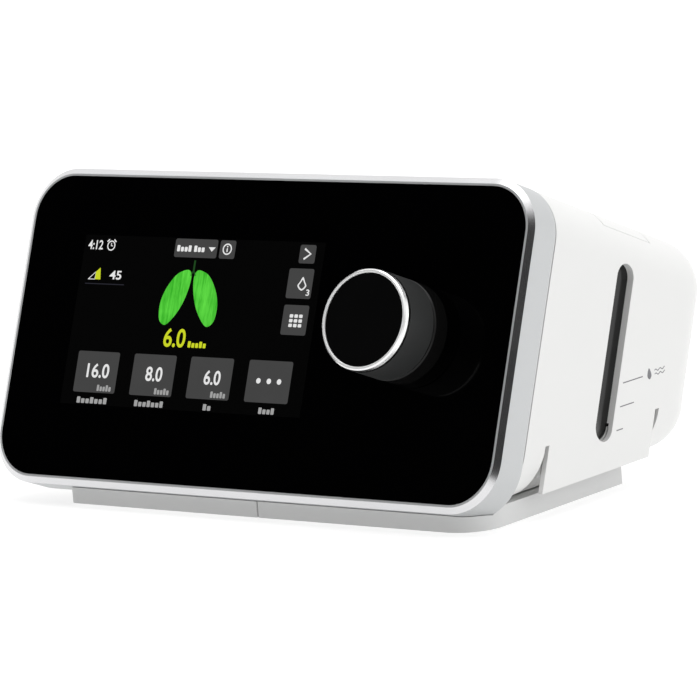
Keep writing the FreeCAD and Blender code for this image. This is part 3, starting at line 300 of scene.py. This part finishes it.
def knob_chrome():
    """Bright ring: a satin front line and a polished slope, both with turned lines."""
    m = Nodes("knob_ring_chrome")
    axis = Vector(JOINTS["knob_spin"]["pos_m"])
    depth = m.along(INWARD, axis)
    radius = m.radius(axis)
    land = m.math("SUBTRACT", 1.0, m.step(radius, 17.2 * MM, 17.35 * MM))
    lines = m.math("SINE", m.math("MULTIPLY", m.math("ADD", radius, depth), 2 * math.pi / (0.12 * MM)))
    tone = m.noise(90, 3)
    m.set(
        Base_Color=m.mix(tone, (0.80, 0.80, 0.80), (0.90, 0.90, 0.90)),
        Metallic=m.ramp(land, 1.0, 0.25),
        Roughness=m.ramp(land, 0.16, 0.42),
    )
    m.bump(lines, 0.05, 0.01 * MM)
    return m.material


def smoked_window_painted_reflection(low, high):
    """Smoked window with a painted reflection: its front and lower part is painted lighter grey, near black
    towards the rear.
    """
    m = Nodes("smoked_window_painted_reflection")
    # Painted reflection: lighter grey towards the pane's front edge and bottom, fading to dark towards the rear.
    across = m.step(m.along((0, 1, 0), low), 1.0 * MM, 10.0 * MM)
    upward = m.step(m.along((0, 0, 1), low), 0.0, high.z - low.z)
    front = m.mix(upward, (0.175, 0.176, 0.170), (0.150, 0.151, 0.148))
    haze = m.noise(120, 3)
    share = m.math("MULTIPLY", across, m.ramp(haze, 0.94, 1.0))
    m.set(
        Base_Color=m.mix(share, front, (0.004, 0.004, 0.004)),
        Roughness=m.ramp(haze, 0.10, 0.2),
        Specular_IOR_Level=0.25,
    )
    m.bump(m.noise(40, 2), 0.04, 0.05 * MM)
    return m.material


def circuit_board():
    """Green solder mask with copper tracks under it."""
    m = Nodes("circuit_board")
    tracks = m.cells(180, "DISTANCE_TO_EDGE")
    line = m.step(tracks, 0.03, 0.06)
    fine = m.noise(900, 2)
    m.set(
        Base_Color=m.mix(line, (0.10, 0.30, 0.12), (0.012, 0.085, 0.035)),
        Roughness=m.ramp(fine, 0.28, 0.4),
        Specular_IOR_Level=0.6,
    )
    m.bump(line, 0.3, 0.03 * MM)
    return m.material


def foam():
    """Open-cell filter foam, with painted shade darkening each pore."""
    m = Nodes("filter_foam")
    pore_dents_and_shade = m.cells(900)
    m.set(
        # Painted shade: the colour darkens towards each pore's centre, where the bump dents the surface.
        Base_Color=m.mix(pore_dents_and_shade, (0.30, 0.32, 0.33), (0.62, 0.65, 0.66)),
        Roughness=0.95,
        Specular_IOR_Level=0.1,
    )
    m.bump(pore_dents_and_shade, 0.9, 0.4 * MM)
    return m.material


def winding():
    """Enamelled copper wire laid round the stator."""
    m = Nodes("copper_winding")
    low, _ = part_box("motor_stator")
    turns = m.math("SINE", m.math("MULTIPLY", m.along((0, 0, 1), low), 2 * math.pi / (0.5 * MM)))
    m.set(
        Base_Color=m.mix(m.noise(300, 2), (0.42, 0.15, 0.05), (0.62, 0.26, 0.09)),
        Metallic=1.0,
        Roughness=0.3,
    )
    m.bump(turns, 0.8, 0.15 * MM)
    return m.material


def lit(name, color, strength, speck=0.04):
    """A lit part of the display behind the glass, with a faint pixel weave and the glass's gloss."""
    m = Nodes(name)
    pitch = 0.14 * MM
    across = m.math("SINE", m.math("MULTIPLY", m.along((1, 0, 0), GLASS_FOOT), 2 * math.pi / pitch))
    weave = m.ramp(across, 1 - speck, 1.0)
    tone = m.mix(m.noise(120, 2), shade(color, 0.93), shade(color, 1.05))
    m.set(
        Base_Color=(0.002, 0.002, 0.002),
        Roughness=0.06,
        Specular_IOR_Level=0.05,
        Emission_Color=tone,
        Emission_Strength=m.math("MULTIPLY", weave, strength),
    )
    return m.material


def ink(name, color):
    """Pad-printed ink with a slightly broken edge tone."""
    m = Nodes(name)
    patch = m.noise(1500, 4, 0.7)
    m.set(Base_Color=m.mix(patch, shade(color, 0.75), shade(color, 1.3)), Roughness=0.6)
    m.bump(patch, 0.2, 0.01 * MM)
    return m.material


def floor_material():
    """Pale sweep, partly glowing so that it photographs white and its shadows stay faint."""
    m = Nodes("studio_floor")
    m.set(
        Base_Color=m.mix(m.noise(3, 3), (0.44, 0.44, 0.44), (0.46, 0.46, 0.46)),
        Roughness=0.8,
        Specular_IOR_Level=0.1,
        Emission_Color=(1.0, 1.0, 1.0),
        Emission_Strength=0.64,
    )
    return m.material


WHITE = (0.71, 0.71, 0.702)
MATERIALS = {
    "white_shell": plastic("shell_white", WHITE, 0.42, spread=0.012, bump=0.18),
    "grey_base": plastic("base_grey", (0.61, 0.613, 0.61), 0.45, spread=0.02),
    "silver_trim": bezel_paint(),
    "glass_black": black_glass(),
    "black_plastic": plastic("gloss_black", (0.004, 0.004, 0.004), 0.25, bump=0.05, specular=0.2),
    "dark_plastic": plastic("dark_plastic", (0.030, 0.031, 0.033), 0.55, spread=0.12),
    "polished_ring": knob_chrome(),
    "steel": metal("steel_bright", (0.58, 0.57, 0.55), 0.3, (1500, 1500, 60)),
    "spring_steel": metal("spring_wire", (0.55, 0.55, 0.55), 0.22, (700, 700, 700)),
    "clear_plastic": clear("tank_clear", (0.80, 0.88, 0.90), 0.03),
    "rubber": rubber("rubber_black", (0.022, 0.022, 0.023)),
    "silicone": rubber("silicone_grey", (0.52, 0.52, 0.51), 0.5),
    "panel": plastic("panel_frame", (0.10, 0.10, 0.11), 0.25, spread=0.05, coat=0.3),
    "circuit": circuit_board(),
    "component": plastic("component_black", (0.02, 0.02, 0.022), 0.5, grain=2600, spread=0.15),
    "amber_film": clear("ribbon_amber", (0.80, 0.36, 0.06), 0.2, haze=0.5),
    "aluminium": metal("aluminium_satin", (0.74, 0.75, 0.76), 0.32, (60, 1200, 60)),
    "copper": winding(),
    "foam": foam(),
    "frosted_plastic": plastic("frosted_white", (0.66, 0.69, 0.71), 0.35, spread=0.03),
}
OWN_MATERIALS = {
    "knob_body": knob_wall(),
    "knob_cap": plastic(
        "knob_cap_black", (0.0006, 0.0006, 0.0007), 0.4, grain=900, bump=0.03, specular=0.04, spread=0.1,
    ),
    "side_window": smoked_window_painted_reflection(*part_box("side_window")),
}


for entry in frame["record"]["subparts"]:
    node = entry["node"]
    slots = NODES[node].data.materials
    slots.clear()
    slots.append(OWN_MATERIALS.get(node, MATERIALS[entry["material_slot"]]))

# --- flat printed or lit shapes -------------------------------------------------------------------


def rounded(left, low, right, high, radius, steps=5):
    """The outline of a rectangle with round corners."""
    points = []
    for turn, (x, y) in enumerate([
        (right - radius, low + radius), (right - radius, high - radius),
        (left + radius, high - radius), (left + radius, low + radius),
    ], start=-1):
        for i in range(steps + 1):
            a = (turn + i / steps) * math.pi / 2
            points.append((x + radius * math.cos(a), y + radius * math.sin(a)))
    return points


def circle(x, y, radius, steps=28):
    return [
        (x + radius * math.cos(2 * math.pi * i / steps), y + radius * math.sin(2 * math.pi * i / steps))
        for i in range(steps)
    ]


def stroke(points, width):
    """A line of even width with square ends, as one outline."""
    left, right = [], []
    for i, (x, y) in enumerate(points):
        before = points[max(i - 1, 0)]
        after = points[min(i + 1, len(points) - 1)]
        along = Vector((after[0] - before[0], after[1] - before[1])).normalized()
        side = Vector((-along.y, along.x)) * width / 2
        left.append((x + side.x, y + side.y))
        right.append((x - side.x, y - side.y))
    return left + right[::-1]


def smooth(points, steps=8):
    """A closed rounded outline through a few points."""
    out = []
    count = len(points)
    for i in range(count):
        p0, p1, p2, p3 = (Vector(points[(i + k) % count]) for k in (-1, 0, 1, 2))
        for j in range(steps):
            t = j / steps
            out.append(tuple(
                0.5 * ((2 * p1) + (p2 - p0) * t + (2 * p0 - 5 * p1 + 4 * p2 - p3) * t * t
                       + (3 * p1 - p0 - 3 * p2 + p3) * t ** 3)
            ))
    return out


def curve_mesh(curve, matrix):
    """The solid mesh of a filled flat curve or text, in place."""
    obj = bpy.data.objects.new("flat", curve)
    bpy.context.scene.collection.objects.link(obj)
    bpy.context.view_layer.update()
    mesh = bpy.data.meshes.new_from_object(obj.evaluated_get(bpy.context.evaluated_depsgraph_get()))
    mesh.transform(matrix)
    bpy.data.objects.remove(obj)
    bpy.data.curves.remove(curve)
    return mesh


def outline_mesh(loops, thick, matrix):
    """A thin plate from outlines in millimetres; a loop inside another is a hole."""
    curve = bpy.data.curves.new("flat", "CURVE")
    curve.dimensions = "2D"
    curve.fill_mode = "BOTH"
    curve.extrude = thick / 2
    for loop in loops:
        spline = curve.splines.new("POLY")
        spline.points.add(len(loop) - 1)
        for point, (x, y) in zip(spline.points, loop):
            point.co = (x * MM, y * MM, 0, 1)
        spline.use_cyclic_u = True
    return curve_mesh(curve, matrix)


def text_mesh(text, x, y, width, height, thick, matrix):
    """Digits of a given height and overall width, from their lower left corner, in millimetres."""
    curve = bpy.data.curves.new("digits", "FONT")
    curve.body = text
    curve.size = 1
    curve.offset = 0.018
    curve.extrude = 0.5
    mesh = curve_mesh(curve, Matrix.Identity(4))
    low = [min(v.co[i] for v in mesh.vertices) for i in (0, 1)]
    high = [max(v.co[i] for v in mesh.vertices) for i in (0, 1)]
    across = width * MM / (high[0] - low[0])
    upward = height * MM / (high[1] - low[1])
    scale = Matrix.Diagonal((across, upward, thick, 1))
    shift = Matrix.Translation((x * MM, y * MM, 0))
    mesh.transform(matrix @ shift @ scale @ Matrix.Translation((-low[0], -low[1], 0)))
    return mesh


def piece(name, meshes, material, body):
    """Joins meshes into one piece that rides on a body."""
    joined = bmesh.new()
    for mesh in meshes:
        joined.from_mesh(mesh)
        bpy.data.meshes.remove(mesh)
    bmesh.ops.remove_doubles(joined, verts=joined.verts, dist=1e-7)
    bmesh.ops.recalc_face_normals(joined, faces=joined.faces)
    data = bpy.data.meshes.new(name)
    joined.to_mesh(data)
    joined.free()
    obj = bpy.data.objects.new(name, data)
    bpy.context.scene.collection.objects.link(obj)
    obj.data.materials.append(material)
    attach(obj, body)


# --- the display's picture ------------------------------------------------------------------------

THIN = 0.02 * MM
SCREEN = (-85.05, 26.7, 25.85, 89.5)
TILE_LEFTS = (-79.8, -53.2, -26.8, -0.1)
TILE_LOW, TILE_HIGH, TILE_WIDE = 31.25, 46.4, 19.6
BUTTONS = (
    (-42.3, 82.4, -22.7, 89.2), (-21.5, 82.4, -14.4, 89.1), (14.9, 81.8, 22.0, 88.5),
    (11.5, 69.1, 22.6, 79.9), (11.6, 55.95, 22.8, 66.75),
)
DIGITS = (
    ("16.0", -74.6, 36.7, 10.5, 5.3), ("8.0", -46.8, 36.6, 7.7, 5.3), ("6.0", -19.7, 36.5, 7.5, 5.3),
    ("4:12", -83.3, 84.1, 7.0, 3.5), ("45", -71.0, 73.2, 5.6, 3.3), ("3", 20.3, 70.2, 1.5, 2.3),
)
BRIGHT_WORDS = ((-41.2, 84.5, 4, 7.0), (-33.3, 84.5, 3, 5.2))
SOFT_WORDS = (
    (-68.7, 31.9, 5, 6.9), (-41.7, 31.9, 5, 7.1), (-15.7, 31.9, 5, 7.1),
    (-77.3, 27.2, 7, 14.6), (-50.1, 27.2, 7, 13.8), (-18.2, 27.2, 2, 4.0), (7.1, 27.2, 4, 7.4),
)
LOBE = [
    (3.2, -0.2), (7.3, -1.9), (10.7, -6.0), (12.8, -10.6), (13.3, -15.0), (12.4, -19.0), (9.6, -20.6),
    (6.4, -18.0), (3.4, -13.6), (1.4, -8.4), (0.6, -3.6), (1.2, -0.9),
]
LOBE_TOP = (-32.0, 78.0)


def dashes(left, low, count, wide):
    """A row of small blocks that stands for a word."""
    pitch = wide / count
    blocks = []
    for i in range(count):
        start = left + i * pitch
        height = 2.3 if i % 3 == 0 else 1.7
        blocks.append([rounded(start, low, start + 0.76 * pitch, low + height, 0.3)])
    return blocks


def build_display():
    ground = face_matrix(0.012 * MM)
    tiles = face_matrix(0.030 * MM)
    marks = face_matrix(0.048 * MM)
    piece(
        "display_ground", [outline_mesh([rounded(*SCREEN, 0.4)], THIN / 2, ground)],
        lit("display_ground_lit", (0.5, 0.5, 0.56), 0.0002), "root",
    )
    plates = [(x, TILE_LOW, x + TILE_WIDE, TILE_HIGH) for x in TILE_LEFTS]
    plates += BUTTONS
    piece(
        "display_tiles", [outline_mesh([rounded(*plate, 0.8)], THIN, tiles) for plate in plates],
        lit("display_tile_lit", (0.054, 0.054, 0.054), 1.0), "root",
    )
    build_white_marks(marks)
    build_lobes(marks)
    yellow = [text_mesh("6.0", -41.0, 49.4, 10.0, 6.9, THIN, marks)]
    yellow += [outline_mesh(loops, THIN, marks) for loops in dashes(-29.5, 49.6, 5, 8.7)]
    wedge = [(-77.7, 73.0), (-75.1, 73.0), (-75.8, 77.4), (-77.7, 75.8)]
    yellow.append(outline_mesh([wedge], THIN, marks))
    piece(
        "display_yellow", yellow, lit("display_yellow_lit", (0.60, 0.68, 0.02), 0.95), "root"
    )


def build_white_marks(marks):
    white = [text_mesh(text, x, y, wide, high, THIN, marks) for text, x, y, wide, high in DIGITS]
    shapes = [
        [circle(-72.4, 85.7, 1.9), circle(-72.4, 85.7, 1.45)],
        [stroke([(-72.4, 86.7), (-72.4, 85.6), (-71.6, 85.6)], 0.35)],
        [stroke([(-74.5, 87.1), (-73.5, 88.0)], 0.5)],
        [stroke([(-71.3, 88.0), (-70.3, 87.1)], 0.5)],
        [circle(-18.1, 85.9, 2.1), circle(-18.1, 85.9, 1.6)],
        [rounded(-18.35, 84.85, -17.85, 86.25, 0.2)],
        [circle(-18.1, 86.85, 0.3, 12)],
        [stroke([(17.0, 87.1), (19.9, 85.25), (17.0, 83.3)], 0.75)],
        [[(-26.7, 86.4), (-25.1, 84.8), (-23.5, 86.4)]],
        [stroke([(-81.0, 73.05), (-77.8, 73.05), (-77.8, 75.7), (-80.7, 73.2)], 0.3)],
        [smooth([(16.1, 73.6), (17.0, 75.2), (18.1, 76.9), (19.2, 75.2), (20.0, 73.6), (18.1, 72.0)]),
         smooth([(16.7, 73.7), (17.4, 74.9), (18.1, 75.9), (18.8, 74.9), (19.4, 73.7), (18.1, 72.6)])],
    ]
    shapes += [[circle(x, 39.0, 1.0, 20)] for x in (5.1, 9.8, 14.4)]
    for word in BRIGHT_WORDS:
        shapes += dashes(*word)
    for row in range(3):
        for column in range(3):
            x, y = 14.7 + 2.1 * column, 58.8 + 1.7 * row
            shapes.append([rounded(x, y, x + 1.55, y + 1.2, 0.3)])
    white += [outline_mesh(loops, THIN, marks) for loops in shapes]
    piece(
        "display_white", white, lit("display_white_lit", (0.76, 0.76, 0.76), 1.0), "root"
    )
    words = [block for word in SOFT_WORDS for block in dashes(*word)]
    soft = [outline_mesh(loops, THIN, marks) for loops in words]
    piece("display_soft", soft, lit("display_soft_lit", (0.34, 0.34, 0.34), 1.0), "root")
    rule = outline_mesh([rounded(-82.1, 71.2, -63.5, 71.55, 0.15)], THIN, marks)
    piece("display_rule", [rule], lit("display_rule_lit", (0.020, 0.020, 0.028), 1.0), "root")


def lobe_material():
    """Green with darker streaks that run down each lobe, mixed with faint patches."""
    m = Nodes("display_green_lit")
    streak = m.noise(1.0, 5, 0.7, vector=m.stretch(m.place, (620, 60, 60)))
    patch = m.noise(70, 3)
    tone = m.math("ADD", m.math("MULTIPLY", streak, 0.7), m.math("MULTIPLY", patch, 0.3))
    share = m.step(tone, 0.32, 0.68)
    m.set(
        Base_Color=(0.002, 0.002, 0.002),
        Roughness=0.06,
        Specular_IOR_Level=0.05,
        Emission_Color=m.mix(share, (0.018, 0.33, 0.010), (0.115, 0.68, 0.060)),
        Emission_Strength=1.0,
    )
    return m.material


def build_lobes(marks):
    top_x, top_y = LOBE_TOP
    lobes = [
        outline_mesh([smooth([(top_x + side * x, top_y + y) for x, y in LOBE])], THIN, marks)
        for side in (-1, 1)
    ]
    piece("display_lobes", lobes, lobe_material(), "root")
    windpipe = [
        outline_mesh([stroke([(top_x, top_y + 3.4), (top_x, top_y - 0.6)], 0.8)], THIN, marks),
        outline_mesh([stroke([(top_x, top_y - 0.4), (top_x - 1.1, top_y - 2.2)], 0.6)], THIN, marks),
        outline_mesh([stroke([(top_x, top_y - 0.4), (top_x + 1.1, top_y - 2.2)], 0.6)], THIN, marks),
    ]
    piece(
        "display_windpipe", windpipe, lit("display_windpipe_lit", (0.012, 0.060, 0.012), 1.0), "root"
    )


build_display()

# --- level marks on the drawer's side -------------------------------------------------------------


def build_level_marks():
    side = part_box("side_cap")[1].x
    matrix = Matrix.Translation((side + 0.01 * MM, GLASS_FOOT.y, 0)) @ Matrix((
        (0, 0, 1, 0),
        (1, 0, 0, 0),
        (0, 1, 0, 0),
        (0, 0, 0, 1),
    ))
    ticks = [(39.0, 82.9, 95.4), (31.0, 80.1, 88.8), (23.1, 76.9, 80.9)]
    loops = [[rounded(start, z - 0.2, end, z + 0.2, 0.1)] for z, start, end in ticks]
    drop = [(98.3, 38.6), (99.6, 41.2), (100.9, 38.6), (99.6, 37.2)]
    loops.append([smooth(drop)])
    for base in (38.4, 38.4 + 1.4):
        wave = [(103.0 + k * 0.5, base + 0.35 * math.sin(k * 1.1)) for k in range(14)]
        loops.append([stroke(wave, 0.35)])
    piece(
        "level_marks", [outline_mesh(loop, THIN, matrix) for loop in loops],
        ink("mark_ink", (0.16, 0.16, 0.17)), "drawer",
    )


build_level_marks()

# --- camera ---------------------------------------------------------------------------------------


def build_camera():
    low, high = CAD_BOX
    middle = (Vector(low) + Vector(high)) / 2
    aim = middle + Vector((0.904, -1.655, -10.863)) * MM
    azimuth, elevation, roll = (math.radians(a) for a in (37.96, 9.605, -4.4716))
    distance = 1.7290
    outward = Vector((
        math.sin(azimuth) * math.cos(elevation), -math.cos(azimuth) * math.cos(elevation), math.sin(elevation),
    ))
    data = bpy.data.cameras.new("camera")
    data.sensor_width = 36
    data.lens = 244.41
    data.clip_start = 0.05
    data.clip_end = 100
    camera = bpy.data.objects.new("camera", data)
    bpy.context.scene.collection.objects.link(camera)
    facing = (-outward).to_track_quat("-Z", "Y").to_matrix().to_4x4()
    camera.matrix_world = Matrix.Translation(aim + outward * distance) @ facing @ Matrix.Rotation(roll, 4, "Z")
    bpy.context.scene.camera = camera


build_camera()

# --- studio ---------------------------------------------------------------------------------------


def build_studio():
    mesh = bpy.data.meshes.new("studio_floor")
    count, radius = 96, 40.0
    ring = [
        (radius * math.cos(2 * math.pi * i / count), radius * math.sin(2 * math.pi * i / count), 0)
        for i in range(count)
    ]
    mesh.from_pydata(ring, [], [list(range(count))])
    floor = bpy.data.objects.new("studio_floor", mesh)
    bpy.context.scene.collection.objects.link(floor)
    floor.data.materials.append(floor_material())

    world = bpy.data.worlds.new("studio")
    bpy.context.scene.world = world
    world.use_nodes = True
    tree = world.node_tree
    background = tree.nodes["Background"]
    background.inputs["Color"].default_value = (1, 1, 1, 1)

    def node(kind, **settings):
        made = tree.nodes.new(kind)
        for key, value in settings.items():
            setattr(made, key, value)
        return made

    def fade(value, low, high):
        made = node("ShaderNodeMapRange", interpolation_type="SMOOTHSTEP")
        tree.links.new(value, made.inputs[0])
        made.inputs[1].default_value = low
        made.inputs[2].default_value = high
        return made.outputs[0]

    direction = node("ShaderNodeTexCoord").outputs["Generated"]
    squeezed = node("ShaderNodeVectorMath", operation="MULTIPLY")
    tree.links.new(direction, squeezed.inputs[0])
    squeezed.inputs[1].default_value = (0.55, 1, 1)
    unit = node("ShaderNodeVectorMath", operation="NORMALIZE")
    tree.links.new(squeezed.outputs[0], unit.inputs[0])
    front = node("ShaderNodeVectorMath", operation="DOT_PRODUCT")
    tree.links.new(unit.outputs[0], front.inputs[0])
    front.inputs[1].default_value = Vector((0, -0.88, 0.47)).normalized()
    parts = node("ShaderNodeSeparateXYZ")
    tree.links.new(direction, parts.inputs[0])
    shadow = node("ShaderNodeMath", operation="MULTIPLY")
    tree.links.new(fade(front.outputs["Value"], 0.76, 0.90), shadow.inputs[0])
    tree.links.new(fade(parts.outputs["Z"], 0.02, 0.10), shadow.inputs[1])
    strength = node("ShaderNodeMapRange")
    tree.links.new(shadow.outputs[0], strength.inputs[0])
    strength.inputs[3].default_value = 1.0
    strength.inputs[4].default_value = 0.02
    tree.links.new(strength.outputs[0], background.inputs["Strength"])

    lights = [
        ("overhead", (0.1, 0.5, 2.2), 19, 2.2),
        ("side", (2.2, 0.5, 1.0), 5, 1.6),
    ]
    for name, place, power, size in lights:
        data = bpy.data.lights.new(name, "AREA")
        data.energy = power
        data.size = size
        light = bpy.data.objects.new(name, data)
        bpy.context.scene.collection.objects.link(light)
        light.matrix_world = Matrix.Translation(place) @ (
            Vector(place).to_track_quat("Z", "Y").to_matrix().to_4x4()
        )


build_studio()
bpy.context.scene.view_settings.view_transform = "Standard"
bpy.context.scene.view_settings.exposure = 0.1
